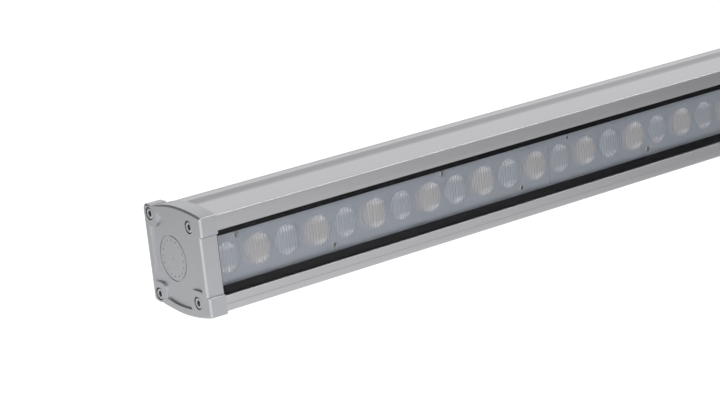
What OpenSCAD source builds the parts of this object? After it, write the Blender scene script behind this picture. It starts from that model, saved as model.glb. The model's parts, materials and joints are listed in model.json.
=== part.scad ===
// Outdoor wall washer: a metre of anodised profile with three strips of lenses behind glass,
// a die-cast cap at each end, and two wall feet that it tilts and slides on.
// X runs along the lamp, the wall is the plane y = 0, the lamp faces -Y and its mid-plane is z = 0.
// Depths are measured from the front plane of the end caps towards the wall.

/* [Lamp] */
// Length over the two end caps
lamp_len = 1000; // [900:1:1300]
// Depth over the end caps, front to back
lamp_depth = 77; // [72:0.5:87]

/* [End caps] */
// Thickness of a cap along the lamp
cap_len = 14.2; // [12:0.1:18]
// Half height of a cap at its front plane
cap_front_half = 37.4; // [36.5:0.1:39]
// Half height of a cap at the crown of its arched sides
cap_crown_half = 41.4; // [41:0.1:45]
// Half height that the arch would have at the rear plane
cap_rear_half = 32.3; // [29:0.1:35]
// Depth of the crown of the arched sides
crown_depth = 35.5; // [30:0.5:42]
// Chamfer round the outer edge of a cap
cap_edge = 1.3; // [0.4:0.1:2.5]
// Thickness of the outer plate of a cap
cap_plate = 4; // [3.5:0.1:6]
// Depth of the recessed panel in the outer face
panel_recess = 1.8; // [0.5:0.1:2]
// Rim above and below the recessed panel
panel_rim = 6; // [4:0.1:8]
// Depth at which the recessed panel starts
panel_front = 8.5; // [6:0.1:10]
// Width of the rim at the rear of the panel
panel_rear_rim = 6; // [4:0.1:8]
// Half width of the raised face round each screw
boss_half = 9.5; // [7:0.1:10.5]
// Radius of that face's corners
boss_corner_r = 5; // [2:0.1:6.5]
// Wall between the head of a screw and the hollow inside a cap
cap_wall = 4; // [2.5:0.1:6]
// Depth of the notch across the front of a cap
notch_deep = 2.3; // [1:0.1:3.5]
// Half height of that notch
notch_half = 22.7; // [18:0.1:26]
// Width and depth of the fine groove under the notch's upper step
notch_groove = 0.8; // [0.4:0.1:1.2]
// Distance of the middle of the round knock-out from the rear wall of the driver bay
disc_set = 17.8; // [14:0.1:24]
// Radius of the round knock-out
disc_r = 17.6; // [12:0.1:20]
// Width of the groove round the knock-out
disc_groove = 0.9; // [0.4:0.1:1.5]
// Radius of the ring of drill marks
mark_ring_r = 13.8; // [8:0.1:15]
// Drill marks in the ring
mark_count = 16; // [8:1:24]
// Diameter of a drill mark
mark_d = 1.3; // [0.6:0.1:2]
// Depth of the knock-out's groove and drill marks
mark_deep = 0.5; // [0.2:0.1:0.8]

/* [Cap screws] */
// Diameter of the screws that hold the caps
cap_screw_d = 5; // [4:0.1:6]
// Diameter of their heads
cap_head_d = 8.5; // [7:0.1:10]
// Height of their heads
cap_head_h = 5; // [3:0.1:6]
// Depth of the counterbore for a head
cap_bore_deep = 5.4; // [5.1:0.1:7]
// Clearance round a head in its counterbore
cap_head_gap = 0.7; // [0.3:0.1:1.5]
// Hexagon socket across flats
cap_key = 4; // [3:0.5:5]
// Depth of the two front screws
front_screw_depth = 16.2; // [15:0.1:18]
// Half the distance between the two front screws
front_screw_half = 28.6; // [27.5:0.1:30.5]
// Distance of the two rear screws from the rear plane
rear_screw_set = 8.2; // [6:0.1:9.2]
// Half the distance between the two rear screws
rear_screw_half = 30.9; // [29.5:0.1:31.2]
// Radius of the ear round each rear screw
ear_r = 6.6; // [6.2:0.1:8]
// Radius of the ear's rear corner
ear_corner_r = 3; // [1:0.1:4.5]
// How far a screw reaches into the profile
cap_screw_grip = 14; // [8:0.5:25]
// Thickness of a cap's gasket
gasket_thick = 0.8; // [0.5:0.1:2]
// How far the gasket's edge lies inside the profile
gasket_inset = 0.6; // [0.3:0.1:1]

/* [Profile] */
// Set-back of the profile's front behind the caps
profile_front = 2; // [1:0.1:3]
// Set-back of its rear face in front of the caps' rear plane
profile_rear_set = 1.5; // [0.5:0.1:3]
// Half height of the window between the lips
window_half = 24.5; // [20:0.1:26]
// Half height at which the front face steps forward
facet_half = 31; // [28.5:0.1:33]
// Height of that step
facet_step = 0.5; // [0.2:0.1:1]
// Half height of the front corner
corner_half = 36.2; // [35.5:0.1:37.5]
// Radius of the front corner
corner_r = 1; // [0.3:0.1:2]
// Depth at which the flat band on the sides ends
band_end = 27; // [25.5:0.1:30]
// Half height at the end of the band
band_half = 39.8; // [39:0.1:40.8]
// Width of the hollow groove behind the band
groove_len = 13; // [9:0.1:16]
// Depth of that groove at the band
groove_deep = 2.1; // [1:0.1:2.6]
// How far the rear part of the sides lies inside the arch of the caps
strip_inset = 0.4; // [0.1:0.1:1.2]
// Thickness of the profile's walls
wall = 2.4; // [1.8:0.1:2.8]
// Thickness of the lips in front of the glass
lip_thick = 3.1; // [2:0.1:4]
// Half height of the space for the lens strips
optic_half = 22.5; // [21.8:0.1:23.5]
// Thickness of the web that carries the boards
web_thick = 3; // [2:0.1:4]

/* [Rear channel] */
// Half width of the channel's mouth
mouth_half = 6.5; // [5:0.1:8]
// Half width of the channel inside
channel_half = 13; // [11:0.1:15]
// Thickness of the channel's lips
channel_lip = 3; // [2:0.1:4]
// Depth of the channel behind its lips
channel_deep = 6.5; // [5.5:0.1:8]
// Thickness of the wall between the channel and the driver bay
channel_floor = 2.5; // [2:0.1:4]

/* [Glass] */
// Thickness of the glass
glass_thick = 4; // [3:0.1:5]
// Half height of the glass
glass_half = 27.5; // [26.5:0.1:28]
// Thickness of the border printed on the back of the glass
print_thick = 0.2; // [0.1:0.05:0.4]
// Half height of the clear field between the printed borders
clear_half = 18.7; // [16:0.1:20]
// Thickness of the bed of sealant behind the glass
seal_thick = 1; // [0.5:0.1:2]
// Width of that bed
seal_width = 3.8; // [2:0.1:4.4]

/* [Lens strips] */
// Lenses in a strip
lenses = 12; // [6:1:14]
// Gap between the sealing ledge and the front of a strip
strip_gap = 2.7; // [1.5:0.1:4]
// Thickness of a strip's plate
plate_thick = 2; // [1.5:0.1:3]
// Half height of the plate
plate_half = 20.8; // [19:0.1:21.2]
// Radius of a lens at the plate
lens_r = 12.4; // [9:0.1:12.8]
// Radius of a lens at the board
lens_foot_r = 5.6; // [4.6:0.1:7]
// Height of a lens behind the plate
lens_deep = 10.5; // [8:0.1:13]
// Height of the ribs on the front of a lens
rib_high = 0.6; // [0.3:0.1:1]
// Distance between those ribs
rib_pitch = 2.4; // [1.6:0.1:3.5]
// Radius of the hollow over a light source
source_hollow_r = 3.2; // [2.7:0.1:4]
// Depth of that hollow
source_hollow_deep = 3.4; // [2.7:0.1:5]
// Half the distance between the two rows of posts
post_half = 14.7; // [14:0.1:15.2]
// Radius of a post
post_r = 3; // [2.6:0.1:3.4]
// Gap left between parts that are not fastened to each other
seat_gap = 0.3; // [0.1:0.05:0.5]
// Room for the wires beyond the last strip
wire_room = 6.4; // [5:0.1:12]

/* [Boards] */
// Thickness of a board
board_thick = 1.6; // [1:0.1:2.4]
// Half height of a board
board_half = 21; // [19.6:0.1:21.4]
// Width of a light source
source_w = 3.5; // [2.8:0.1:4]
// Height of a light source's body
source_h = 0.7; // [0.4:0.1:1.2]
// Radius of a light source's dome
dome_r = 1.5; // [1:0.1:1.7]
// Diameter of the small screws
small_screw_d = 2.4; // [2:0.1:2.6]
// Diameter of their heads
small_head_d = 4.4; // [3.6:0.1:4.8]
// Height of their heads
small_head_h = 1.5; // [1:0.1:2]
// Half the distance between the two rows of board screws
board_screw_half = 17.6; // [17:0.1:18.2]

/* [Driver] */
// Length of the driver's board
driver_len = 260; // [220:1:320]
// Half width of the driver's board
driver_half = 30; // [26:0.1:31]
// Middle of the driver's board along the lamp
driver_x = 120; // [80:1:160]
// Gap between the driver's board and the floor of the bay
driver_lift = 5; // [4:0.1:8]
// Thickness of the ribs that hold the board's edges
guide_thick = 1.4; // [1:0.1:2]
// How far the ribs cover the board's edges
guide_grip = 2.5; // [1.5:0.1:4]
// Diameter of an inner wire
wire_d = 2; // [1.2:0.1:2.6]

/* [Cable gland] */
// Diameter of the gland's thread
gland_d = 16; // [14:0.5:18]
// Gland's hexagon across flats
gland_flats = 22; // [20:0.5:25]
// Diameter of the cable that it takes
cable_d = 7; // [5:0.5:8]
// Length of the rubber sleeve that grips the cable
sleeve_len = 10; // [6:0.5:12]

/* [Wall feet] */
// Distance between the two feet
feet_span = 600; // [400:1:700]
// Distance from the rear plane of the caps to the tilting axis
pivot_gap = 14; // [13:0.5:20]
// Distance from the tilting axis to the wall
pivot_reach = 44; // [42:0.5:70]
// Thickness of the bent plates
foot_thick = 3; // [2:0.1:4]
// Half width of a foot
foot_half = 10; // [8.5:0.1:11]
// Width of a clamp over its two ears
lug_w = 26; // [22:0.1:34]
// Radius of the ends of a clamp's ears
ear_end_r = 8; // [6:0.1:9]
// Gap between a clamp's ear and an arm of its foot
arm_gap = 0.4; // [0.2:0.1:1]
// Diameter of the tilting bolts and the clamping screws
bolt_d = 6; // [5:0.1:6.5]
// Clearance of a turning bolt in its hole, on the radius
bolt_fit = 0.05; // [0.02:0.01:0.1]
// Diameter of a washer
washer_d = 12; // [11:0.1:14]
// Thickness of a washer
washer_thick = 1.2; // [0.8:0.1:2]
// Hexagon of the tilting bolts across flats
bolt_flats = 10; // [8:0.5:11]
// Width of the slot for the wall screw
slot_w = 6.6; // [4.5:0.1:8]
// Length of that slot
slot_len = 18; // [10:0.5:22]
// Length of the nut in the rear channel
rail_nut_len = 30; // [20:0.5:50]
// Thickness of that nut
rail_nut_thick = 4; // [3:0.1:5]

/* [Hidden] */
$fn = 64;
// Segments of the long arcs
arc_fn = 360;
// Overshoot of a cut past the face that it starts from
cut = 1;

anodised = [0.74, 0.74, 0.75];
cast_silver = [0.66, 0.66, 0.68];
steel = [0.62, 0.62, 0.63];
black_print = [0.05, 0.05, 0.055];
black_rubber = [0.07, 0.07, 0.075];
clear_acrylic = [0.80, 0.84, 0.90, 0.55];
clear_glass = [0.78, 0.85, 0.90, 0.30];
board_white = [0.85, 0.86, 0.88];
circuit_green = [0.10, 0.32, 0.20];
copper = [0.72, 0.42, 0.24];

rear_screw_depth = lamp_depth - rear_screw_set;

// Places along the lamp
left_x = -lamp_len/2;
profile_x = left_x + cap_len + gasket_thick;
profile_len = lamp_len - 2*(cap_len + gasket_thick);
strip_len = (profile_len - wire_room)/3;
lens_pitch = strip_len/lenses;
post_pitches = [0.8, 4, 8, 10.9];
board_screw_pitches = [2, 10];

// Depths from the front plane, in the order in which a ray from the front meets them
front_y = -(lamp_depth + pivot_gap + pivot_reach);
lip_rear = profile_front + lip_thick;
glass_front = lip_rear + seat_gap;
glass_rear = glass_front + glass_thick;
print_rear = glass_rear + print_thick;
ledge = print_rear + seal_thick;
plate_front = ledge + strip_gap;
plate_rear = plate_front + plate_thick;
board_front = plate_rear + lens_deep + seat_gap;
web_front = board_front + board_thick;
web_rear = web_front + web_thick;
profile_rear = lamp_depth - profile_rear_set;
channel_rear = profile_rear - channel_lip;
channel_front = channel_rear - channel_deep;
bay_rear = channel_front - channel_floor;
driver_rear = bay_rear - driver_lift;
driver_front = driver_rear - board_thick;
bay_room = driver_front - web_rear;
pivot_depth = lamp_depth + pivot_gap;
disc_depth = bay_rear - disc_set;

// Arched sides of the caps
front_rise = cap_crown_half - cap_front_half;
front_arc_r = (crown_depth^2 + front_rise^2)/(2*front_rise);
rear_fall = cap_crown_half - cap_rear_half;
rear_run = lamp_depth - crown_depth;
rear_arc_r = (rear_run^2 + rear_fall^2)/(2*rear_fall);
function arch_half(depth, inset) =
    let (r = depth < crown_depth ? front_arc_r : rear_arc_r)
    cap_crown_half - r + sqrt((r - inset)^2 - (depth - crown_depth)^2);

// Hollow groove along the sides
groove_low = band_half - groove_deep;
groove_low_depth = band_end + 2;
groove_end = band_end + groove_len;
groove_rise = arch_half(groove_end, strip_inset) - groove_low;
groove_run = groove_end - groove_low_depth;
groove_r = (groove_run^2 + groove_rise^2)/(2*groove_rise);

// Driver bay inside the sides
bay_half = min(groove_low, arch_half(bay_rear, strip_inset)) - wall;
cap_screws_at = [
    [front_screw_depth, front_screw_half], [front_screw_depth, -front_screw_half],
    [rear_screw_depth, rear_screw_half], [rear_screw_depth, -rear_screw_half]
];
small_hole_r = small_screw_d/2 + 0.1;

// Children drawn in depth and height, and drawn out along the lamp from x
module along(x, length) {
    translate([x, front_y, 0]) rotate([90, 0, 90]) linear_extrude(length) children();
}

module at(x, depth, z) {
    translate([x, front_y + depth, z]) children();
}

module pin_x(r, length) {
    rotate([0, 90, 0]) cylinder(r = r, h = length);
}

module pin_y(r, length) {
    rotate([-90, 0, 0]) cylinder(r = r, h = length);
}

module box_at(x0, x1, d0, d1, z0, z1) {
    at(x0, d0, z0) cube([x1 - x0, d1 - d0, z1 - z0]);
}

module band(d0, d1, half) {
    translate([d0, -half]) square([d1 - d0, 2*half]);
}

module blocks(d0, d1, z0, z1) {
    for (low = [z0, -z1]) translate([d0, low]) square([d1 - d0, z1 - z0]);
}

// Outline of the caps
module arch_part(r, inset, d0, d1) {
    intersection() {
        band(d0, d1, cap_crown_half);
        translate([crown_depth, cap_crown_half - r]) circle(r = r - inset, $fn = arc_fn);
        translate([crown_depth, r - cap_crown_half]) circle(r = r - inset, $fn = arc_fn);
    }
}

module arch(inset, d0, d1) {
    arch_part(front_arc_r, inset, d0, crown_depth);
    arch_part(rear_arc_r, inset, crown_depth, d1);
}

module ear(inset) {
    top = rear_screw_half + ear_r - inset;
    rear = lamp_depth - inset;
    corner = ear_corner_r - inset/2;
    translate([rear_screw_depth, rear_screw_half]) circle(r = ear_r - inset);
    translate([rear_screw_depth, 0]) square([rear - corner - rear_screw_depth, top]);
    translate([rear_screw_depth, 0]) square([rear - rear_screw_depth, top - corner]);
    translate([rear - corner, top - corner]) circle(r = corner);
}

module cap_outline(inset = 0) {
    arch(inset, inset, lamp_depth - inset);
    for (side = [0, 1]) mirror([0, side]) ear(inset);
}

module cap_screw_circles(r) {
    for (place = cap_screws_at) translate(place) circle(r = r);
}

// A cap, drawn with its outer face at x = 0 and its inner face at x = cap_len
module cap_blank() {
    intersection() {
        along(0, cap_len) cap_outline();
        hull() {
            along(0, cap_edge/4) cap_outline(cap_edge, $fn = 32);
            along(cap_edge, cap_len - cap_edge) cap_outline(0, $fn = 32);
        }
    }
}

module hollow_outline() {
    difference() {
        band(ledge, bay_rear, bay_half);
        cap_screw_circles(cap_head_d/2 + cap_wall);
    }
}

module boss_outline() {
    inner = boss_half - boss_corner_r;
    for (place = cap_screws_at) translate(place) {
        band(-boss_half, boss_half, inner);
        band(-inner, inner, boss_half);
        for (d = [-inner, inner], z = [-inner, inner]) translate([d, z]) circle(r = boss_corner_r);
    }
}

module cap_panel() {
    along(-cut, panel_recess + cut) difference() {
        arch(panel_rim, panel_front, lamp_depth - panel_rear_rim);
        boss_outline();
    }
}

module knock_out_marks() {
    floor_x = panel_recess + mark_deep;
    at(-cut, disc_depth, 0) difference() {
        pin_x(disc_r, floor_x + cut);
        pin_x(disc_r - disc_groove, floor_x + cut);
    }
    for (i = [0:mark_count - 1]) {
        angle = i*360/mark_count;
        at(-cut, disc_depth + mark_ring_r*cos(angle), mark_ring_r*sin(angle))
            pin_x(mark_d/2, floor_x + cut, $fn = 16);
    }
    at(-cut, disc_depth, 0) pin_x(mark_d/2, floor_x + cut, $fn = 16);
}

module cap_screw_bores() {
    for (place = cap_screws_at) {
        at(-cut, place[0], place[1]) pin_x(cap_head_d/2 + cap_head_gap, cap_bore_deep + cut);
        at(-cut, place[0], place[1]) pin_x(cap_screw_d/2 + seat_gap, cap_len + 2*cut);
    }
}

module cap_body() {
    difference() {
        cap_blank();
        along(cap_plate, cap_len) hollow_outline();
        cap_panel();
        cap_screw_bores();
        box_at(-cut, cap_len + cut, -cut, notch_deep, -notch_half, notch_half);
        at(0, notch_deep, -notch_half) linear_extrude(2*notch_half)
            polygon([[-cut, -cut], [cap_edge + cut, -cut], [-cut, cap_edge + cut]]);
        box_at(-cut, cap_len + cut, -cut, notch_deep + notch_groove, notch_half - notch_groove, notch_half);
        children();
    }
}

module left_end_cap() {
    color(cast_silver) translate([left_x, 0, 0]) cap_body() knock_out_marks();
}

module right_end_cap() {
    color(cast_silver) translate([-left_x, 0, 0]) mirror([1, 0, 0])
        cap_body() at(-cut, disc_depth, 0) pin_x(gland_d/2 + seat_gap, cap_plate + 2*cut);
}

// Gasket between a cap and the end of the profile
module cap_gasket(x) {
    color(black_rubber) along(x, gasket_thick) difference() {
        profile_outline(gasket_inset);
        hollow_outline();
        cap_screw_circles(cap_screw_d/2 + seat_gap);
    }
}

module left_cap_gasket() {
    cap_gasket(left_x + cap_len);
}

module right_cap_gasket() {
    cap_gasket(-left_x - cap_len - gasket_thick);
}

// Socket head screw along +X, with its head's top at x = 0
module socket_screw(length) {
    key_r = cap_key/sqrt(3);
    difference() {
        pin_x(cap_head_d/2, cap_head_h);
        translate([-cut, 0, 0]) pin_x(key_r, cap_head_h/2 + cut, $fn = 6);
    }
    translate([cap_head_h, 0, 0]) pin_x(cap_screw_d/2, length - cap_head_h);
}

module cap_screws() {
    head_x = cap_bore_deep - cap_head_h;
    length = cap_len + gasket_thick + cap_screw_grip - head_x;
    color(steel) for (side = [0, 1]) mirror([side, 0, 0]) translate([left_x, 0, 0])
        for (place = cap_screws_at) at(head_x, place[0], place[1]) socket_screw(length);
}

// Outline of the profile
module profile_nose(inset) {
    face = profile_front + inset;
    centre = [profile_front + corner_r, corner_half - corner_r];
    bend = corner_r - inset/2;
    upper = concat(
        [[face + facet_step, facet_half + inset], [face, facet_half + inset]],
        [for (a = [0:22.5:90]) centre + [inset/2 - bend*cos(a), bend*sin(a) - inset/2]],
        [[band_end, band_half - inset]]
    );
    lower = [for (point = upper) [point[0], -point[1]]];
    polygon(concat(lower, [for (i = [len(upper) - 1:-1:0]) upper[i]]));
}

module profile_outline(inset = 0) {
    profile_nose(inset);
    difference() {
        arch(strip_inset + inset, band_end - wall, profile_rear - inset);
        for (side = [-1, 1]) translate([groove_low_depth, side*(groove_low + groove_r)])
            circle(r = groove_r + inset, $fn = arc_fn);
    }
}

module bay_guides() {
    for (d = [driver_front - seat_gap - guide_thick, driver_rear + seat_gap])
        blocks(d, d + guide_thick, driver_half + seat_gap - guide_grip, bay_half + cut);
}

module side_hollow() {
    d0 = front_screw_depth + cap_screw_d/2 + wall;
    blocks(d0, web_rear - wall/2, optic_half + wall, groove_low - wall);
}

module profile_section() {
    difference() {
        profile_outline();
        band(0, lip_rear + cut/2, window_half);
        band(lip_rear, ledge, glass_half + seat_gap);
        band(ledge - cut/2, web_front, optic_half);
        band(web_rear, bay_rear, bay_half);
        band(channel_front, channel_rear, channel_half);
        band(channel_rear - cut/2, lamp_depth, mouth_half);
        side_hollow();
        cap_screw_circles(cap_screw_d/2 + bolt_fit);
    }
    bay_guides();
}

module web_holes() {
    for (s = [0:2]) {
        for (i = [0:len(post_pitches) - 1])
            at(post_x(s, i), web_front - cut, post_side(i)*post_half)
                pin_y(small_screw_d/2 + bolt_fit, web_thick + 2*cut, $fn = 24);
        for (p = board_screw_pitches, side = [-1, 1])
            at(strip_x(s) + p*lens_pitch, web_front - cut, side*board_screw_half)
                pin_y(small_screw_d/2 + bolt_fit, web_thick + 2*cut, $fn = 24);
    }
}

module profile() {
    end_x = profile_x + profile_len;
    color(anodised) difference() {
        along(profile_x, profile_len) profile_section();
        web_holes();
        box_at(end_x - wire_room, end_x + cut, web_front - cut, web_rear + cut, -3*wire_d, 3*wire_d);
        at(earth_x, bay_rear - cut, 0) pin_y(earth_screw_r + bolt_fit, 0.8*channel_floor + cut);
    }
}

// Glass and what it lies on
module front_glass() {
    color(clear_glass) box_at(profile_x + seat_gap, profile_x + profile_len - seat_gap,
        glass_front, glass_rear, -glass_half, glass_half);
}

module glass_border_print() {
    color(black_print) for (side = [0, 1]) mirror([0, 0, side])
        box_at(profile_x + seat_gap, profile_x + profile_len - seat_gap,
            glass_rear, print_rear, clear_half, glass_half);
}

module glass_seal() {
    color(black_rubber) for (side = [0, 1]) mirror([0, 0, side])
        box_at(profile_x + seat_gap, profile_x + profile_len - seat_gap,
            print_rear, ledge, glass_half - seal_width, glass_half);
}

// Lens strips
function strip_x(s) = profile_x + strip_len*s;
function lens_x(s, i) = strip_x(s) + lens_pitch*(i + 0.5);
function post_x(s, i) = strip_x(s) + post_pitches[i]*lens_pitch;
function post_side(i) = i % 2 == 0 ? 1 : -1;

module rib_field() {
    count = ceil(2*lens_r/rib_pitch);
    start = -count*rib_pitch/2;
    crests = [for (k = [0:count - 1], a = [0:30:150])
        [start + (k + a/180)*rib_pitch, -rib_high*sin(a)]];
    polygon(concat(crests, [[-start, 0], [-start, plate_thick/2], [start, plate_thick/2]]));
}

module lens_ribs() {
    intersection() {
        translate([0, 0, -lens_r]) linear_extrude(2*lens_r) rib_field();
        translate([0, -rib_high - cut, 0]) pin_y(lens_r - 0.2, plate_thick + rib_high + cut);
    }
}

module lens_cup() {
    rotate([-90, 0, 0]) difference() {
        translate([0, 0, -plate_thick/2]) union() {
            cylinder(r = lens_r, h = plate_thick/2);
            translate([0, 0, plate_thick/2]) cylinder(r1 = lens_r, r2 = lens_foot_r, h = lens_deep);
        }
        translate([0, 0, lens_deep - source_hollow_deep])
            cylinder(r = source_hollow_r, h = source_hollow_deep + cut);
    }
}

module lens_strip(s) {
    color(clear_acrylic) difference() {
        union() {
            box_at(strip_x(s) + seat_gap/2, strip_x(s + 1) - seat_gap/2,
                plate_front, plate_rear, -plate_half, plate_half);
            for (i = [0:lenses - 1]) {
                at(lens_x(s, i), plate_front, 0) lens_ribs();
                at(lens_x(s, i), plate_rear, 0) lens_cup();
            }
            for (p = post_pitches, side = [-1, 1])
                at(strip_x(s) + p*lens_pitch, plate_rear - cut/2, side*post_half)
                    pin_y(post_r, board_front - plate_rear + cut/2);
        }
        for (i = [0:len(post_pitches) - 1])
            at(post_x(s, i), plate_front - cut, post_side(i)*post_half) {
                pin_y(small_hole_r, board_front - plate_front + 2*cut, $fn = 24);
                pin_y(small_head_d/2 + 0.1, small_head_h + cut, $fn = 32);
            }
    }
}

module lens_strip_1() {
    lens_strip(0);
}

module lens_strip_2() {
    lens_strip(1);
}

module lens_strip_3() {
    lens_strip(2);
}

// Boards and light sources
module led_board(s) {
    color(board_white) difference() {
        box_at(strip_x(s) + seat_gap/2, strip_x(s + 1) - seat_gap/2,
            board_front, web_front, -board_half, board_half);
        for (i = [0:len(post_pitches) - 1])
            at(post_x(s, i), board_front - cut, post_side(i)*post_half)
                pin_y(small_hole_r, board_thick + 2*cut, $fn = 24);
        for (p = board_screw_pitches, side = [-1, 1])
            at(strip_x(s) + p*lens_pitch, board_front - cut, side*board_screw_half)
                pin_y(small_hole_r, board_thick + 2*cut, $fn = 24);
    }
}

module led_board_1() {
    led_board(0);
}

module led_board_2() {
    led_board(1);
}

module led_board_3() {
    led_board(2);
}

module light_source() {
    translate([-source_w/2, -source_h, -source_w/2]) cube([source_w, source_h, source_w]);
    intersection() {
        translate([0, -source_h, 0]) sphere(r = dome_r, $fn = 32);
        translate([-dome_r, -source_h - dome_r, -dome_r]) cube([2*dome_r, source_h/2 + dome_r, 2*dome_r]);
    }
}

module light_sources(first) {
    for (s = [0:2], i = [first:2:lenses - 1]) at(lens_x(s, i), board_front, 0) light_source();
}

module warm_leds() {
    color([0.93, 0.80, 0.45]) light_sources(1);
}

module cool_leds() {
    color([0.90, 0.88, 0.62]) light_sources(0);
}

// Pan head screw along +Y, with the underside of its head at y = 0
module small_screw(length) {
    translate([0, -small_head_h, 0]) difference() {
        pin_y(small_head_d/2, small_head_h, $fn = 32);
        translate([0, -cut, 0]) pin_y(0.27*small_head_d, 0.7*small_head_h + cut, $fn = 6);
    }
    pin_y(small_screw_d/2, length, $fn = 24);
}

module lens_screws() {
    color(steel) for (s = [0:2], i = [0:len(post_pitches) - 1])
        at(post_x(s, i), plate_front + small_head_h, post_side(i)*post_half)
            small_screw(web_rear - plate_front - small_head_h);
}

module board_screws() {
    color(steel) for (s = [0:2], p = board_screw_pitches, side = [-1, 1])
        at(strip_x(s) + p*lens_pitch, board_front, side*board_screw_half)
            small_screw(web_rear - board_front);
}

// Solder bridges from one board to the next
module board_links() {
    link_len = 5*board_thick;
    link_thick = board_thick/3;
    link_z = board_half - 0.7*wire_d;
    color(copper) for (s = [1, 2], z = [-link_z, link_z])
        box_at(strip_x(s) - link_len/2, strip_x(s) + link_len/2,
            board_front - link_thick, board_front, z - wire_d/2, z + wire_d/2);
}

// Driver
driver_x0 = driver_x - driver_len/2;
driver_x1 = driver_x + driver_len/2;

module driver_board() {
    color(circuit_green) box_at(driver_x0, driver_x1, driver_front, driver_rear, -driver_half, driver_half);
}

module driver_transformer() {
    core = [0.8*driver_half, 0.7*bay_room, 0.87*driver_half];
    leg_r = 0.17*driver_half;
    coil_r = 0.35*driver_half;
    base = core[1]/6;
    at(driver_x - driver_len/26, driver_front, 0) {
        color([0.20, 0.20, 0.22]) difference() {
            translate([-core[0]/2, -core[1], -core[2]/2]) cube(core);
            difference() {
                translate([0, -core[1] - cut, 0]) pin_y(coil_r + seat_gap, core[1] - base + cut);
                translate([0, -core[1] - 2*cut, 0]) pin_y(leg_r, core[1] + cut);
            }
        }
        color([0.85, 0.70, 0.20]) translate([0, -core[1], 0]) difference() {
            pin_y(coil_r, core[1] - base - seat_gap);
            translate([0, -cut, 0]) pin_y(leg_r + seat_gap, core[1] + cut);
        }
    }
}

module driver_choke() {
    winding_r = 0.18*bay_room;
    ring_r = 1.5*winding_r;
    place = [driver_x + 0.12*driver_len, driver_half/3];
    color(copper) at(place[0], driver_front - winding_r, place[1]) rotate([90, 0, 0])
        rotate_extrude() translate([ring_r, 0]) circle(r = winding_r, $fn = 32);
}

module driver_capacitors() {
    can_r = driver_half/5;
    can_h = 0.75*bay_room;
    crimp_r = can_r/8;
    row = 2*can_r;
    color([0.12, 0.14, 0.30]) for (place = [[-0.27, -row], [-0.27, row], [0.23, row]])
        at(driver_x + place[0]*driver_len, driver_front - can_h, place[1]) difference() {
            pin_y(can_r, can_h);
            translate([0, can_h/9, 0]) rotate([-90, 0, 0]) rotate_extrude()
                translate([can_r + crimp_r/2, 0]) circle(r = crimp_r, $fn = 16);
        }
}

module driver_transistors() {
    spacing = driver_len/20;
    body = [0.77*spacing, 0.15*driver_half, 0.47*driver_half];
    tab = [body[0], body[1]/3, 0.12*driver_half];
    low = guide_grip - driver_half;
    for (i = [0:2]) at(driver_x + (i + 1.5)*spacing, driver_front, low) {
        color(steel) translate([0, -tab[1], 0]) cube(tab);
        color(black_rubber) translate([0, -body[1], tab[2]]) cube(body);
    }
}

// Terminal block with three poles
pole_pitch = driver_half/4;
pole_height = 2*wire_d;
pole_screw_r = wire_d;
pole_screw_h = 2.1*wire_d;
terminal_w = 5.5*wire_d;
terminal_h = bay_room/2;
terminal_x = driver_x1 - terminal_w - 2.5*wire_d;
pole_x = terminal_x + terminal_w/2;

module terminal_block() {
    well = 1.2*pole_screw_h;
    half = 1.5*pole_pitch + seat_gap;
    color([0.16, 0.45, 0.25]) difference() {
        box_at(terminal_x, terminal_x + terminal_w, driver_front - terminal_h, driver_front, -half, half);
        for (z = [-pole_pitch, 0, pole_pitch]) {
            at(pole_x, driver_front - terminal_h - cut, z) pin_y(pole_screw_r + 0.1, well + cut, $fn = 24);
            at(pole_x, driver_front - pole_height, z) pin_x(wire_d/2 + 0.5, terminal_w, $fn = 24);
        }
    }
}

module terminal_screws() {
    top = driver_front - terminal_h + 0.6;
    color(steel) for (z = [-pole_pitch, 0, pole_pitch]) at(pole_x, top, z) difference() {
        pin_y(pole_screw_r, pole_screw_h, $fn = 24);
        translate([-pole_screw_r - cut, -cut, -0.3]) cube([2*pole_screw_r + 2*cut, 1 + cut, 0.6]);
    }
}

// A round wire whose straight runs lie along X, Y or Z, with a ball at each bend
module wire(corners) {
    for (i = [0:len(corners) - 2]) {
        a = corners[i];
        run = corners[i + 1] - a;
        start = [min(a[0], a[0] + run[0]), min(a[1], a[1] + run[1]), min(a[2], a[2] + run[2])];
        translate(start) {
            if (run[0] != 0) pin_x(wire_d/2, abs(run[0]), $fn = 24);
            if (run[1] != 0) pin_y(wire_d/2, abs(run[1]), $fn = 24);
            if (run[2] != 0) cylinder(r = wire_d/2, h = abs(run[2]), $fn = 24);
        }
        if (i > 0) translate(a) sphere(r = wire_d/2 + bolt_fit, $fn = 24);
    }
}

module feed_wires() {
    end_x = profile_x + profile_len - wire_room/2;
    start_x = terminal_x - 3*wire_d;
    board_x = end_x - wire_room/2 - 1.5*wire_d;
    high = front_y + driver_front - 3*wire_d;
    low = front_y + board_front - wire_d;
    color([0.70, 0.10, 0.08]) for (side = [-1, 1]) {
        z = side*wire_d;
        turn_x = driver_x1 + (10 - 1.5*side)*wire_d;
        wire([
            [start_x, front_y + driver_front, z - 8*wire_d],
            [start_x, high, z - 8*wire_d],
            [turn_x, high, z - 8*wire_d],
            [turn_x, high, z],
            [end_x, high, z],
            [end_x, low, z],
            [board_x, low, z],
            [board_x, front_y + board_front, z]
        ]);
    }
}

// Earth connection to the floor of the driver bay
earth_screw_r = wire_d;
earth_x = profile_x + profile_len - 30*earth_screw_r;
lug_thick = 0.4*earth_screw_r;

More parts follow.
